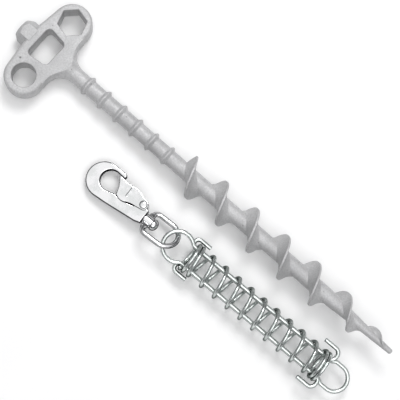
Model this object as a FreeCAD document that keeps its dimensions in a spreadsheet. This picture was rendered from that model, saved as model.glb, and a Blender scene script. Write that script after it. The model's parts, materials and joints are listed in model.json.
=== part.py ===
"""Screw-in tent stake with its loose guy-line shock spring and swivel snap hook.

Lengths are millimetres. +X runs along the stake from head to tip, +Y points away from the
spring unit and +Z is up. Both things lie on the ground plane Z = 0.
"""
import FreeCAD
import Part
import Sketcher
import math
import os
from FreeCAD import Matrix, Placement, Rotation, Vector

SIZES = [
    # stake casting
    ("stake_length", 404.1, "hex boss end to tip"),
    ("shaft_radius", 6.6, "plain round shaft"),
    ("plate_thickness", 18.0, "head plate"),
    ("plate_edge_round", 2.6, "rounding of the head's outline"),
    ("rim_round", 1.0, "rounding of the three holes' rims"),
    ("lobe_station", 29.0, "lobe centres from the boss end"),
    ("lobe_offset", 29.5, "lobe centres from the shaft axis"),
    ("lobe_radius", 16.4, "round lobes"),
    ("neck_radius", 16.5, "hollow curve from lobe to shaft"),
    ("crown_station", 10.2, "straight top edge from the boss end"),
    ("crown_half_width", 10.5, "half the straight top edge"),
    ("hex_socket_flats", 21.0, "hexagonal wrench hole across flats"),
    ("hex_socket_turn", -13.0, "one hexagon corner from +X, degrees"),
    ("eye_hole_radius", 10.0, "round guy-line hole"),
    ("grip_slot_station", 27.6, "grip slot centre from the boss end"),
    ("grip_slot_length", 19.4, "grip slot along X"),
    ("grip_slot_width_boss", 28.6, "grip slot along Y at its boss side"),
    ("grip_slot_width_tip", 23.4, "grip slot along Y at its tip side"),
    ("grip_slot_corner", 3.8, "grip slot corner radius"),
    ("boss_flats", 19.0, "hex drive boss across flats"),
    ("boss_chamfer_radius", 8.0, "end face of the hex boss"),
    ("boss_chamfer_length", 4.3, "cone on the hex boss corners"),
    ("ring_count", 6, "grip rings on the shaft"),
    ("ring_station", 72.5, "first ring from the boss end"),
    ("ring_spacing", 17.35, "ring to ring"),
    ("ring_radius", 8.7, "ring crest"),
    ("ring_half_base", 2.7, "half a ring's width at the shaft"),
    ("ring_half_land", 0.45, "half a ring's width at its crest"),
    ("taper_station", 333.6, "where the core starts to taper"),
    ("taper_knee_station", 380.6, "where the core taper eases"),
    ("taper_knee_radius", 3.4, "core at the knee"),
    ("tip_radius", 2.2, "blunt tip"),
    ("flight_radius", 16.6, "outside of the screw flight"),
    ("flight_pitch", 33.5, "advance per turn"),
    ("flight_start", 178.5, "first flight edge from the boss end"),
    ("flight_start_angle", 25.0, "blunt start, degrees from +Y towards +Z"),
    ("flight_half_land", 0.75, "half the land on the flight's edge"),
    ("flight_half_waist", 2.3, "half the flight's thickness at mid height"),
    ("flight_half_root", 7.6, "half the flight's width at the core"),
    ("flight_taper_station", 312.6, "where the flight starts to taper"),
    ("flight_end_station", 400.6, "where the flight's edge would meet the axis"),
    ("flight_stretch_station", 328.6, "where the flight's pitch opens"),
    ("flight_tip_pitch", 38.0, "advance per turn beyond it"),
    ("flight_root_depth", 0.4, "flight's root below the core's surface"),
    ("flight_start_share", 0.45, "root width of the blunt first edge, share of the full width"),
    # spring unit, placed by the left end of its spring
    ("unit_x", 225.5, "spring's end from the boss end"),
    ("unit_y", -50.3, "spring's end from the stake's axis"),
    ("unit_yaw", 1.72, "turn of the unit about +Z, degrees"),
    ("spring_length", 146.4, "free length"),
    ("spring_radius", 12.75, "mean coil radius"),
    ("spring_wire", 3.1, "spring wire diameter"),
    ("spring_start_angle", 148.0, "left end of the spring wire, degrees from +Y towards +Z"),
    ("spring_end_turns", 1.6, "closed turns at each end"),
    ("spring_open_turns", 10.1, "open turns"),
    ("closed_turn_gap", 0.15, "between the wires of the closed turns"),
    ("pitch_blend", 0.5, "turns over which the pitch opens"),
    ("drawbar_wire", 3.6, "drawbar wire diameter"),
    ("leg_offset", 8.9, "drawbar legs from the unit's axis"),
    ("leg_gap", 0.3, "between the two drawbars"),
    ("ring_loop_radius", 12.9, "mean radius of the snap-side loop"),
    ("ring_loop_flare", 4.0, "bend between loop and legs"),
    ("ring_flare_station", 0.6, "where the legs start to spread into the loop"),
    ("bow_radius", 11.3, "mean radius of the other drawbar's loop"),
    ("bow_centre", 158.5, "centre of that loop from the spring's end"),
    ("bow_flare", 5.0, "bends that widen the legs into that loop"),
    ("bow_flare_gap", 0.2, "from the spring's far end to those bends"),
    ("wide_hook_offset", 19.3, "snap-side drawbar's hook tips from the axis"),
    ("wide_hook_tip", 132.2, "their ends from the spring's end"),
    ("wide_hook_inner_bend", 4.2, "bend beside the leg"),
    ("wide_hook_outer_bend", 4.6, "bend beside the tip"),
    ("narrow_hook_bend", 3.85, "other drawbar's hook bend"),
    ("narrow_hook_tip", 11.75, "its ends from the spring's end"),
    ("hook_play", 0.1, "hook bend to spring end"),
    # swivel snap hook, measured from the point where its eye hangs in the loop
    ("link_station", -18.3, "link point from the spring's end"),
    ("link_offset", 1.5, "link point from the unit's axis"),
    ("snap_yaw", 1.4, "turn of the snap hook in its link, degrees"),
    ("snap_pitch", 8.32, "fall of the snap hook towards the ground, degrees"),
    ("eye_roll", -30.0, "roll of the swivel eye about its own axis, degrees"),
    ("eye_bar_radius", 2.05, "section of the swivel eye"),
    ("eye_half_width", 12.0, "mean half width of the eye"),
    ("eye_end", 4.3, "mean end of the eye"),
    ("eye_back", -24.4, "mean back of the eye"),
    ("eye_corner", 5.0, "mean corner radius at the eye's back"),
    ("barrel_radius", 4.7, "swivel barrel on the eye"),
    ("barrel_start", -28.4, "snap side of the barrel"),
    ("barrel_end", -20.3, "eye side of the barrel"),
    ("shoulder_width", 17.0, "flat shoulders beside the barrel"),
    ("shoulder_length", 5.6, "shoulders along the swivel axis"),
    ("shoulder_thickness", 4.4, "shoulders through the eye"),
    ("swivel_pin_radius", 2.5, "swivel pin shank"),
    ("swivel_fit", 0.1, "radial running clearance in the barrel"),
    ("swivel_gap", 0.3, "end play of the swivel"),
    ("pin_head_radius", 4.7, "peened pin head"),
    ("pin_head_height", 5.0, "peened pin head"),
    ("pin_seat_depth", 5.0, "pin shank in the snap body"),
    ("snap_thickness", 7.0, "snap hook body"),
    ("snap_edge", 1.2, "rounding of the snap hook's outline"),
    ("bend_centre", -74.0, "centre of the hook's bend"),
    ("bend_height", 4.6, "the same centre across the hook"),
    ("bend_radius", 15.4, "outside of the hook's bend"),
    ("throat_centre", -69.5, "centre of the throat"),
    ("throat_height", 7.5, "the same centre across the hook"),
    ("throat_radius", 8.9, "throat"),
    ("rivet_station", -35.25, "gate rivet along the hook"),
    ("rivet_height", 7.7, "gate rivet across the hook"),
    ("rivet_radius", 1.7, "gate rivet shank"),
    ("rivet_fit", 0.08, "radial running clearance on the rivet"),
    ("rivet_head_radius", 3.4, "gate rivet heads"),
    ("rivet_head_height", 1.5, "gate rivet heads"),
    ("rivet_head_play", 0.05, "gate cheek to rivet head"),
    ("pivot_boss_radius", 2.9, "body ears around the rivet"),
    ("gate_cheek", 1.6, "gate side walls"),
    ("gate_side_gap", 0.25, "gate cheek to body"),
    ("gate_edge", 0.5, "rounding of the gate's outline"),
    ("gate_rear_radius", 4.3, "gate cheeks around the rivet"),
    ("thumb_rib_height", 0.4, "rib across the gate's cheeks"),
    ("spring_notch_width", 2.6, "slot in the ears for the gate spring"),
    ("gate_spring_wire", 0.6, "gate spring wire diameter"),
    ("gate_spring_radius", 2.3, "gate spring mean coil radius"),
    ("gate_spring_turns", 3, "gate spring turns"),
    ("gate_spring_gap", 0.08, "between the gate spring's turns"),
    ("gate_spring_low_leg", 8.9, "leg that rests on the spine"),
    ("gate_spring_high_leg", 11.0, "leg that pushes the gate"),
    ("gate_spring_low_angle", 287.0, "where the low leg leaves the coil, degrees"),
    ("gate_spring_high_angle", 78.0, "where the high leg leaves the coil, degrees"),
]

doc = FreeCAD.newDocument("tent_stake")
sheet = doc.addObject("Spreadsheet::Sheet", "sizes")
# turns a helix, which FreeCAD winds about +Z from +X, so that it winds about +X from +Y
HELIX_TO_X = Placement(Matrix(0, 0, 1, 0, 1, 0, 0, 0, 0, 1, 0, 0, 0, 0, 0, 1))


def fill_sheet():
    """Write every driving dimension to its own aliased cell."""
    for row, (alias, value, note) in enumerate(SIZES, start=1):
        sheet.set("A%d" % row, note)
        sheet.set("B%d" % row, str(value))
        sheet.setAlias("B%d" % row, alias)
    doc.recompute()


def size(alias):
    """Value of one driving dimension."""
    return float(sheet.get(alias))


# ---------------------------------------------------------------- general helpers

def origin_feature(body, role):
    """The body's own origin plane or axis with this role."""
    return next(item for item in body.Origin.OriginFeatures if item.Role == role)


def new_body(name):
    """An empty PartDesign body."""
    body = doc.addObject("PartDesign::Body", name)
    body.Label = name
    return body


def new_sketch(body, name, plane="XY_Plane", offset=0.0):
    """A sketch on one of the body's origin planes, raised along the plane's normal."""
    sketch = body.newObject("Sketcher::SketchObject", name)
    sketch.AttachmentSupport = [(origin_feature(body, plane), "")]
    sketch.MapMode = "FlatFace"
    sketch.AttachmentOffset = Placement(Vector(0, 0, offset), Rotation())
    return sketch


def add_loop(sketch, edges):
    """Put a closed loop of lines and arcs into a sketch."""
    for edge in edges:
        sketch.addGeometry(edge, False)


def add_bound_circle(sketch, station, offset, radius):
    """A circle whose centre and radius follow three sheet cells or expressions."""
    centre = Vector(1, 1, 0)
    index = sketch.addGeometry(Part.Circle(centre, Vector(0, 0, 1), 1.0), False)
    bindings = [("DistanceX", (-1, 1, index, 3), station),
                ("DistanceY", (-1, 1, index, 3), offset)]
    for kind, places, expression in bindings:
        start = FreeCAD.Units.Quantity(1.0)
        number = sketch.addConstraint(Sketcher.Constraint(kind, *places, start.Value))
        sketch.setExpression("Constraints[%d]" % number, expression)
    number = sketch.addConstraint(Sketcher.Constraint("Radius", index, 1.0))
    sketch.setExpression("Constraints[%d]" % number, radius)


def line(start, end):
    """Straight edge between two (x, y) points."""
    return Part.LineSegment(Vector(start[0], start[1], 0), Vector(end[0], end[1], 0))


def arc(start, middle, end):
    """Arc through three (x, y) points."""
    points = [Vector(point[0], point[1], 0) for point in (start, middle, end)]
    return Part.Arc(*points)


def on_circle(centre, radius, degrees):
    """Point on a circle, its angle measured from +X."""
    turn = math.radians(degrees)
    return (centre[0] + radius * math.cos(turn), centre[1] + radius * math.sin(turn))


def direction(start, end):
    """Angle of the line from one point to another, degrees."""
    return math.degrees(math.atan2(end[1] - start[1], end[0] - start[0]))


def corner_arc(before, corner, after, radius):
    """Tangent points and mid point of the rounding of one corner."""
    back = Vector(before[0] - corner[0], before[1] - corner[1], 0).normalize()
    ahead = Vector(after[0] - corner[0], after[1] - corner[1], 0).normalize()
    half = back.getAngle(ahead) / 2
    reach = radius / math.tan(half)
    bisector = (back + ahead).normalize()
    depth = radius / math.sin(half) - radius
    tip = Vector(corner[0], corner[1], 0)
    return [tuple((tip + step)[0:2]) for step in (back * reach, bisector * depth, ahead * reach)]


def rounded_loop(corners):
    """Closed loop through (x, y, corner radius) points."""
    edges = []
    count = len(corners)
    roundings = []
    for index, corner in enumerate(corners):
        before = corners[index - 1]
        after = corners[(index + 1) % count]
        if corner[2] > 0:
            roundings.append(corner_arc(before, corner, after, corner[2]))
        else:
            roundings.append([corner[:2]] * 3)
    for index, rounding in enumerate(roundings):
        following = roundings[(index + 1) % count]
        if rounding[0] != rounding[2]:
            edges.append(arc(*rounding))
        edges.append(line(rounding[2], following[0]))
    return edges


def mirrored(point):
    """The same point on the other side of the shaft's axis."""
    return (point[0], -point[1])


def joined(points_and_arcs):
    """Edges of a path from ("line", end) and ("arc", middle, end) steps after its first point."""
    edges = []
    here = points_and_arcs[0]
    for step in points_and_arcs[1:]:
        if step[0] == "line":
            edges.append(line(here, step[1]))
        else:
            edges.append(arc(here, step[1], step[2]))
        here = step[-1]
    return edges


def flipped(steps):
    """The same path on the other side of the axis, run from its last point to its first."""
    points = [steps[0]] + [step[-1] for step in steps[1:]]
    result = [mirrored(points[-1])]
    for index in range(len(steps) - 1, 0, -1):
        end = mirrored(points[index - 1])
        if steps[index][0] == "line":
            result.append(("line", end))
        else:
            result.append(("arc", mirrored(steps[index][1]), end))
    return result


def pad(body, sketch, name, length, midplane=True):
    """Pad a sketch by a sheet expression, to both sides or upwards only."""
    feature = body.newObject("PartDesign::Pad", name)
    feature.Profile = sketch
    feature.setExpression("Length", length)
    feature.Midplane = midplane
    doc.recompute()
    return feature


def pocket(body, sketch, name, length):
    """Cut a sketch to both sides of its plane, and make sure that it cut something."""
    before = body.Shape.Volume
    feature = body.newObject("PartDesign::Pocket", name)
    feature.Profile = sketch
    feature.Midplane = True
    feature.setExpression("Length", length)
    doc.recompute()
    if body.Shape.Volume > before - 0.01:
        raise RuntimeError(name + " cuts nothing")
    return feature


def revolve(body, sketch, name, kind="PartDesign::Revolution"):
    """Turn a sketch on the XY plane about the X axis."""
    feature = body.newObject(kind, name)
    feature.Profile = sketch
    feature.ReferenceAxis = (sketch, ["H_Axis"])
    feature.Angle = 360
    doc.recompute()
    return feature


def round_edges(body, name, radius, chosen):
    """Fillet the body's edges that a test picks."""
    edges = ["Edge%d" % (number + 1) for number, edge in enumerate(body.Shape.Edges) if chosen(edge)]
    base = body.Tip
    feature = body.newObject("PartDesign::Fillet", name)
    feature.Base = (base, edges)
    feature.setExpression("Radius", radius)
    doc.recompute()
    return feature


def lies_at_height(edge, height):
    """Whether an edge lies flat at plus or minus this Z."""
    box = edge.BoundBox
    flat = box.ZMax - box.ZMin < 1e-4
    return flat and abs(abs(box.ZMax) - height) < 1e-4


def swept_tube(path_edges, wire_radius, name):
    """Round bar along a path of lines and arcs in the XY plane."""
    path = Part.Wire([edge.toShape() for edge in path_edges])
    start = path.OrderedEdges[0]
    along = start.tangentAt(start.FirstParameter)
    centre = start.valueAt(start.FirstParameter)
    section = Part.Wire([Part.makeCircle(wire_radius, centre, along)])
    shell = path.makePipeShell([section], True, False)
    solid = Part.Solid(shell) if shell.ShapeType != "Solid" else shell
    expected = math.pi * wire_radius ** 2 * path.Length
    if abs(solid.Volume / expected - 1) > 0.01:
        raise RuntimeError("%s: volume %.1f, expected %.1f" % (name, solid.Volume, expected))
    return solid


def new_feature(name, shape):
    """A shape made with Part's own functions."""
    feature = doc.addObject("Part::Feature", name)
    feature.Shape = shape
    return feature


# ---------------------------------------------------------------- stake casting

def neck_centre():
    """Centre of the hollow curve that joins the upper lobe to the shaft."""
    height = size("shaft_radius") + size("neck_radius")
    reach = size("lobe_radius") + size("neck_radius")
    rise = size("lobe_offset") - height
    return (size("lobe_station") + math.sqrt(reach ** 2 - rise ** 2), height)


def head_outline():
    """Loop of the head plate: straight top edge, two lobes and the line where the neck starts."""
    lobe = (size("lobe_station"), size("lobe_offset"))
    neck = neck_centre()
    crown = (size("crown_station"), size("crown_half_width"))
    reach = math.hypot(lobe[0] - crown[0], lobe[1] - crown[1])
    swing = math.degrees(math.asin(size("lobe_radius") / reach))
    touch_angle = direction(crown, lobe) + swing + 90
    touch = on_circle(lobe, size("lobe_radius"), touch_angle)
    join_angle = direction(lobe, neck)
    join = on_circle(lobe, size("lobe_radius"), join_angle)
    lobe_top = on_circle(lobe, size("lobe_radius"), (touch_angle + join_angle) / 2)
    steps = [crown, ("line", touch), ("arc", lobe_top, join)]
    across = line(join, mirrored(join))
    return joined(steps) + [across] + joined(flipped(steps)) + [line(mirrored(crown), crown)]


def neck_steps():
    """First steps of the shaft's half section: inside the plate, then the hollow curve."""
    lobe = (size("lobe_station"), size("lobe_offset"))
    neck = neck_centre()
    join_angle = direction(lobe, neck)
    join = on_circle(neck, size("neck_radius"), join_angle + 180)
    middle = on_circle(neck, size("neck_radius"), (180 + join_angle + 270) / 2)
    back = join[0] - 3
    return [(back, 0), ("line", (back, join[1])), ("line", join),
            ("arc", middle, (neck[0], size("shaft_radius")))]


def hexagon(centre, across_flats, turn):
    """Loop of a hexagon with one corner at this angle."""
    radius = across_flats / math.sqrt(3)
    corners = [on_circle(centre, radius, turn + 60 * step) for step in range(6)]
    return [line(corners[step - 1], corners[step]) for step in range(6)]


def grip_slot():
    """Loop of the grip slot, a little wider on its boss side."""
    middle = size("grip_slot_station")
    half = size("grip_slot_length") / 2
    wide = size("grip_slot_width_boss") / 2
    narrow = size("grip_slot_width_tip") / 2
    corner = size("grip_slot_corner")
    return rounded_loop([(middle - half, -wide, corner), (middle + half, -narrow, corner),
                         (middle + half, narrow, corner), (middle - half, wide, corner)])


def shaft_profile():
    """Half section of neck, shaft, rings, tapered core and blunt tip."""
    radius = size("shaft_radius")
    points = []
    for number in range(int(size("ring_count"))):
        station = size("ring_station") + number * size("ring_spacing")
        points.append((station - size("ring_half_base"), radius))
        points.append((station - size("ring_half_land"), size("ring_radius")))
        points.append((station + size("ring_half_land"), size("ring_radius")))
        points.append((station + size("ring_half_base"), radius))
    tip = size("stake_length")
    blunt = size("tip_radius") / 3
    points.append((size("taper_station"), radius))
    points.append((size("taper_knee_station"), size("taper_knee_radius")))
    points.append((tip - blunt, size("tip_radius")))
    points.append((tip, size("tip_radius") - blunt))
    points.append((tip, 0))
    steps = neck_steps()
    return joined(steps + [("line", point) for point in points + [steps[0]]])


def build_head_plate():
    """Head plate with its rounded outline and three holes."""
    body = new_body("head_plate")
    outline = new_sketch(body, "head_outline")
    add_loop(outline, head_outline())
    pad(body, outline, "plate_pad", "sizes.plate_thickness")
    half = size("plate_thickness") / 2
    round_edges(body, "outline_round", "sizes.plate_edge_round", lambda edge: lies_at_height(edge, half))

    lobe = (size("lobe_station"), size("lobe_offset"))
    socket = new_sketch(body, "hex_socket_outline")
    add_loop(socket, hexagon(lobe, size("hex_socket_flats"), size("hex_socket_turn")))
    pocket(body, socket, "hex_socket", "sizes.plate_thickness + 2")
    slot = new_sketch(body, "grip_slot_outline")
    add_loop(slot, grip_slot())
    pocket(body, slot, "grip_slot", "sizes.plate_thickness + 2")
    eye = new_sketch(body, "eye_hole_outline")
    add_bound_circle(eye, "sizes.lobe_station", "-sizes.lobe_offset", "sizes.eye_hole_radius")
    pocket(body, eye, "eye_hole", "sizes.plate_thickness + 2")
    round_edges(body, "rim_round", "sizes.rim_round",
                lambda edge: lies_at_height(edge, half) and is_rim(edge))
    return body


def build_shaft():
    """Neck and shaft turned about the axis; the neck is cut flat to the plate's thickness."""
    turned = new_body("shaft_turned")
    sketch = new_sketch(turned, "shaft_section")
    add_loop(sketch, shaft_profile())
    revolve(turned, sketch, "shaft_revolution")
    slab = doc.addObject("Part::Box", "neck_slab")
    slab.setExpression("Length", "2 * sizes.stake_length")
    slab.setExpression("Width", "4 * sizes.lobe_offset")
    slab.setExpression("Height", "sizes.plate_thickness")
    slab.setExpression("Placement.Base.y", "-2 * sizes.lobe_offset")
    slab.setExpression("Placement.Base.z", "-sizes.plate_thickness / 2")
    shaft = doc.addObject("Part::Common", "shaft")
    shaft.Base = turned
    shaft.Tool = slab
    return shaft


def build_boss():
    """Hex drive boss with its corners turned off to a cone."""
    prism = doc.addObject("Part::Prism", "boss_prism")
    prism.Polygon = 6
    flats_level = Rotation(Vector(1, 0, 0), 90)
    along_shaft = Rotation(Vector(0, 1, 0), 90)
    prism.Placement = Placement(Vector(), flats_level.multiply(along_shaft))
    prism.setExpression("Circumradius", "sizes.boss_flats / sqrt(3)")
    prism.setExpression("Height", "sizes.crown_station + 3")
    cone = doc.addObject("Part::Cone", "boss_cone")
    cone.Placement = Placement(Vector(), Rotation(Vector(0, 1, 0), 90))
    cone.setExpression("Radius1", "sizes.boss_chamfer_radius")
    slope = "(sizes.boss_flats / sqrt(3) - sizes.boss_chamfer_radius) / sizes.boss_chamfer_length"
    cone.setExpression("Radius2", "sizes.boss_chamfer_radius + (sizes.crown_station + 4) * " + slope)
    cone.setExpression("Height", "sizes.crown_station + 4")
    boss = doc.addObject("Part::Common", "hex_boss")
    boss.Base = prism
    boss.Tool = cone
    return boss


def is_rim(edge):
    """Whether an edge on the plate's face belongs to one of the three holes."""
    centre = edge.BoundBox.Center
    lobe = Vector(size("lobe_station"), size("lobe_offset"), 0)
    flat = Vector(centre.x, abs(centre.y), 0)
    near_lobe_hole = (flat - lobe).Length < size("hex_socket_flats") / math.sqrt(3) + 0.5
    half = size("grip_slot_length") / 2 + 0.5
    near_slot = abs(centre.x - size("grip_slot_station")) < half and abs(centre.y) < 15
    return near_lobe_hole or near_slot


def core_radius(station):
    """Radius of the tapered core at a distance from the boss end."""
    knee = size("taper_knee_station")
    if station <= size("taper_station"):
        return size("shaft_radius")
    if station <= knee:
        share = (station - size("taper_station")) / (knee - size("taper_station"))
        return size("shaft_radius") + share * (size("taper_knee_radius") - size("shaft_radius"))
    share = (station - knee) / (size("stake_length") - knee)
    return size("taper_knee_radius") + share * (size("tip_radius") - size("taper_knee_radius"))


def flight_outer_radius(station):
    """Radius of the flight's edge: full, then an elliptic run-out towards the tip."""
    start = size("flight_taper_station")
    share = max(0.0, (station - start) / (size("flight_end_station") - start))
    return size("flight_radius") * (1 - share ** 1.5) ** 0.6


def flight_section(station, root_share=1.0):
    """Wire of the flight's section in the XY plane: root in the core, hollow sides, narrow land."""
    root = 1.0
    core = core_radius(station) - size("flight_root_depth")
    outer = flight_outer_radius(station)
    scale = (outer - core) / (size("flight_radius") - size("shaft_radius"))
    waist = (core + outer) / 2 + 0.5 * scale
    land = size("flight_half_land") * (0.4 + 0.6 * scale)
    middle = size("flight_half_waist") * (0.3 + 0.7 * scale)
    wide = size("flight_half_root") * (0.4 + 0.6 * scale) * root_share
    edges = [line((-wide, root), (-wide, core)), arc((-wide, core), (-middle, waist), (-land, outer)),
             line((-land, outer), (land, outer)), arc((land, outer), (middle, waist), (wide, core)),
             line((wide, core), (wide, root)), line((wide, root), (-wide, root))]
    return Part.Wire([edge.toShape() for edge in edges])


def build_flight():
    """Right-handed flight: its section swept along a helix in spans, smaller in each of the last."""
    pitch = size("flight_pitch")
    start = size("flight_start")
    taper = size("flight_taper_station")
    stretch = size("flight_stretch_station")
    run_out = size("flight_end_station") - stretch
    stations = [start, start + pitch / 5, taper]
    stations += [stretch + run_out * share for share in (0, 0.27, 0.50, 0.70, 0.83, 0.91)]
    turn = size("flight_start_angle")
    spans = []
    sections = []
    for index, station in enumerate(stations):
        frame = Placement(Vector(station, 0, 0), Rotation(Vector(1, 0, 0), turn))
        section = flight_section(station, size("flight_start_share") if index == 0 else 1.0)
        section.Placement = frame
        sections.append(section)
        if index + 1 < len(stations):
            advance = stations[index + 1] - station
            if station >= stretch:
                pitch = size("flight_tip_pitch")
            span = Part.makeHelix(pitch, advance, size("shaft_radius"))
            span.Placement = frame.multiply(HELIX_TO_X)
            spans.append(span)
            turn += 360 * advance / pitch
    pieces = []
    for span, first, last in zip(spans, sections, sections[1:]):
        pieces.append(Part.Wire(span.Edges).makePipeShell([first, last], True, True))
    return pieces[0].multiFuse(pieces[1:])


def build_stake():
    """The whole stake: one casting, joined one piece at a time."""
    flight = new_feature("screw_flight", build_flight())
    whole = build_head_plate()
    for name, piece in (("crowned_plate", build_boss()), ("plain_stake", build_shaft()), ("stake", flight)):
        joint = doc.addObject("Part::Fuse", name)
        joint.Base = whole
        joint.Tool = piece
        whole = joint
    return whole


# ---------------------------------------------------------------- shock spring unit

def coil_station(turn, total, closed_pitch, rise):
    """Distance along the axis after this many turns, with the pitch eased where it opens."""
    blend = size("pitch_blend")
    from_end = min(turn, total - turn)
    into = max(0.0, from_end - size("spring_end_turns"))
    if into < blend:
        extra = rise * into ** 2 / (2 * blend)
    else:
        extra = rise * (into - blend / 2)
    return closed_pitch * from_end + extra


def coil_points():
    """Points on the spring's wire, from its left end to its right end."""
    wire = size("spring_wire")
    radius = size("spring_radius")
    closed = size("spring_end_turns")
    turns = size("spring_open_turns")
    closed_pitch = wire + size("closed_turn_gap")
    total = turns + 2 * closed
    length = size("spring_length") - wire
    rise = (length - total * closed_pitch) / (turns - size("pitch_blend"))
    steps_per_turn = 12
    count = int(total * steps_per_turn)
    points = []
    for step in range(count + 1):
        turn = total * step / count
        station = coil_station(turn, total, closed_pitch, rise)
        if turn > total / 2:
            station = length - station
        angle = 2 * math.pi * turn + math.radians(size("spring_start_angle"))
        points.append(Vector(wire / 2 + station, radius * math.cos(angle), radius * math.sin(angle)))
    return points


def build_spring():
    """Right-handed compression spring with closed ends, along +X from its left end."""
    points = coil_points()
    curve = Part.BSplineCurve()
    curve.interpolate(Points=points)
    path = Part.Wire([curve.toShape()])
    start = points[0]
    along = curve.tangent(curve.FirstParameter)[0]
    section = Part.Wire([Part.makeCircle(size("spring_wire") / 2, start, along)])
    tube = path.makePipeShell([section], True, True)
    return new_feature("compression_spring", tube)


def drawbar_height():
    """Half the distance between the two drawbars' planes."""
    return (size("drawbar_wire") + size("leg_gap")) / 2


def ring_drawbar_path():
    """Snap-side drawbar: hook, leg, round loop, leg, hook, in one plane."""
    leg = size("leg_offset")
    wire = size("drawbar_wire")
    outer = size("wide_hook_offset")
    inner_bend = size("wide_hook_inner_bend")
    outer_bend = size("wide_hook_outer_bend")
    back = size("spring_length") + wire / 2 + size("hook_play")
    flare = size("ring_loop_flare")
    loop = size("ring_loop_radius")
    flare_centre = (size("ring_flare_station"), leg + flare)
    reach = loop + flare
    loop_centre = (flare_centre[0] - math.sqrt(reach ** 2 - flare_centre[1] ** 2), 0)
    swing = direction(loop_centre, flare_centre)
    join = on_circle(loop_centre, loop, swing)
    outer_centre = (back - outer_bend, outer - outer_bend)
    inner_centre = (back - inner_bend, leg + inner_bend)
    half = [(size("wide_hook_tip"), outer),
            ("line", (outer_centre[0], outer)),
            ("arc", on_circle(outer_centre, outer_bend, 45), (back, outer_centre[1])),
            ("line", (back, inner_centre[1])),
            ("arc", on_circle(inner_centre, inner_bend, -45), (inner_centre[0], leg)),
            ("line", (flare_centre[0], leg)),
            ("arc", on_circle(flare_centre, flare, (270 + 180 + swing) / 2), join),
            ("arc", on_circle(loop_centre, loop, (swing + 180) / 2), (loop_centre[0] - loop, 0))]
    return joined(half) + joined(flipped(half))


def bow_drawbar_path():
    """Other drawbar: hook, leg, round-ended bow, leg, hook, in one plane."""
    leg = size("leg_offset")
    wire = size("drawbar_wire")
    bend = size("narrow_hook_bend")
    back = -wire / 2 - size("hook_play")
    hook_centre = (back + bend, leg + bend)
    bow = size("bow_radius")
    flare = size("bow_flare")
    swing = math.degrees(math.acos(1 - (bow - leg) / (2 * flare)))
    flare_start = size("spring_length") + size("bow_flare_gap")
    first_centre = (flare_start, leg + flare)
    flare_middle = on_circle(first_centre, flare, -90 + swing)
    flare_end = (flare_start + 2 * flare * math.sin(math.radians(swing)), bow)
    second_centre = (flare_end[0], bow - flare)
    centre = (size("bow_centre"), 0)
    half = [(size("narrow_hook_tip"), leg + 2 * bend),
            ("line", (hook_centre[0], leg + 2 * bend)),
            ("arc", on_circle(hook_centre, bend, 180), (hook_centre[0], leg)),
            ("line", (flare_start, leg)),
            ("arc", on_circle(first_centre, flare, -90 + swing / 2), flare_middle),
            ("arc", on_circle(second_centre, flare, 90 + swing / 2), flare_end),
            ("line", (centre[0], bow)),
            ("arc", on_circle(centre, bow, 45), (centre[0] + bow, 0))]
    return joined(half) + joined(flipped(half))


def build_drawbars():
    """The two drawbars, one just above the unit's axis and one just below it."""
    radius = size("drawbar_wire") / 2
    ring = new_feature("ring_drawbar", swept_tube(ring_drawbar_path(), radius, "ring_drawbar"))
    ring.Placement = Placement(Vector(0, 0, drawbar_height()), Rotation())
    bow = new_feature("bow_drawbar", swept_tube(bow_drawbar_path(), radius, "bow_drawbar"))
    bow.Placement = Placement(Vector(0, 0, -drawbar_height()), Rotation())
    return ring, bow


# ---------------------------------------------------------------- swivel snap hook

def bound_cylinder(name, radius, length, start):
    """Cylinder along +X whose radius, length and start follow expressions."""
    cylinder = doc.addObject("Part::Cylinder", name)
    cylinder.Placement = Placement(Vector(0, 0, 0), Rotation(Vector(0, 1, 0), 90))
    cylinder.setExpression("Radius", radius)
    cylinder.setExpression("Height", length)
    cylinder.setExpression("Placement.Base.x", start)
    return cylinder


def build_swivel_eye():
    """Cast eye: rounded bar loop, flat shoulders and a bored swivel barrel."""
    back = size("eye_back")
    half = size("eye_half_width")
    corner = size("eye_corner")
    centre = (size("eye_end") - half, 0)
    corner_centre = (back + corner, half - corner)
    steps = [(back, 0),
             ("line", (back, corner_centre[1])),
             ("arc", on_circle(corner_centre, corner, 135), (corner_centre[0], half)),
             ("line", (centre[0], half)),
             ("arc", on_circle(centre, half, 45), (size("eye_end"), 0))]
    edges = joined(steps) + joined(flipped(steps))
    bar = new_feature("eye_bar", swept_tube(edges, size("eye_bar_radius"), "eye_bar"))
    barrel = bound_cylinder("eye_barrel", "sizes.barrel_radius",
                            "sizes.barrel_end - sizes.barrel_start", "sizes.barrel_start")
    shoulders = doc.addObject("Part::Box", "eye_shoulders")
    shoulders.setExpression("Length", "sizes.shoulder_length")
    shoulders.setExpression("Width", "sizes.shoulder_width")
    shoulders.setExpression("Height", "sizes.shoulder_thickness")
    shoulders.setExpression("Placement.Base.x", "sizes.eye_back - sizes.shoulder_length / 2")
    shoulders.setExpression("Placement.Base.y", "-sizes.shoulder_width / 2")
    shoulders.setExpression("Placement.Base.z", "-sizes.shoulder_thickness / 2")
    solid = doc.addObject("Part::MultiFuse", "eye_solid")
    solid.Shapes = [bar, barrel, shoulders]
    bore = bound_cylinder("eye_bore", "sizes.swivel_pin_radius + sizes.swivel_fit",
                          "sizes.barrel_end - sizes.barrel_start + 4", "sizes.barrel_start - 2")
    eye = doc.addObject("Part::Cut", "swivel_eye")
    eye.Base = solid
    eye.Tool = bore
    return eye


def turned_body(name, corners):
    """Body of revolution about +X from its half section's (x, radius) corners."""
    body = new_body(name)
    sketch = new_sketch(body, name + "_section")
    add_loop(sketch, [line(corners[index - 1], corners[index]) for index in range(len(corners))])
    revolve(body, sketch, name + "_turned")
    return body


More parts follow.
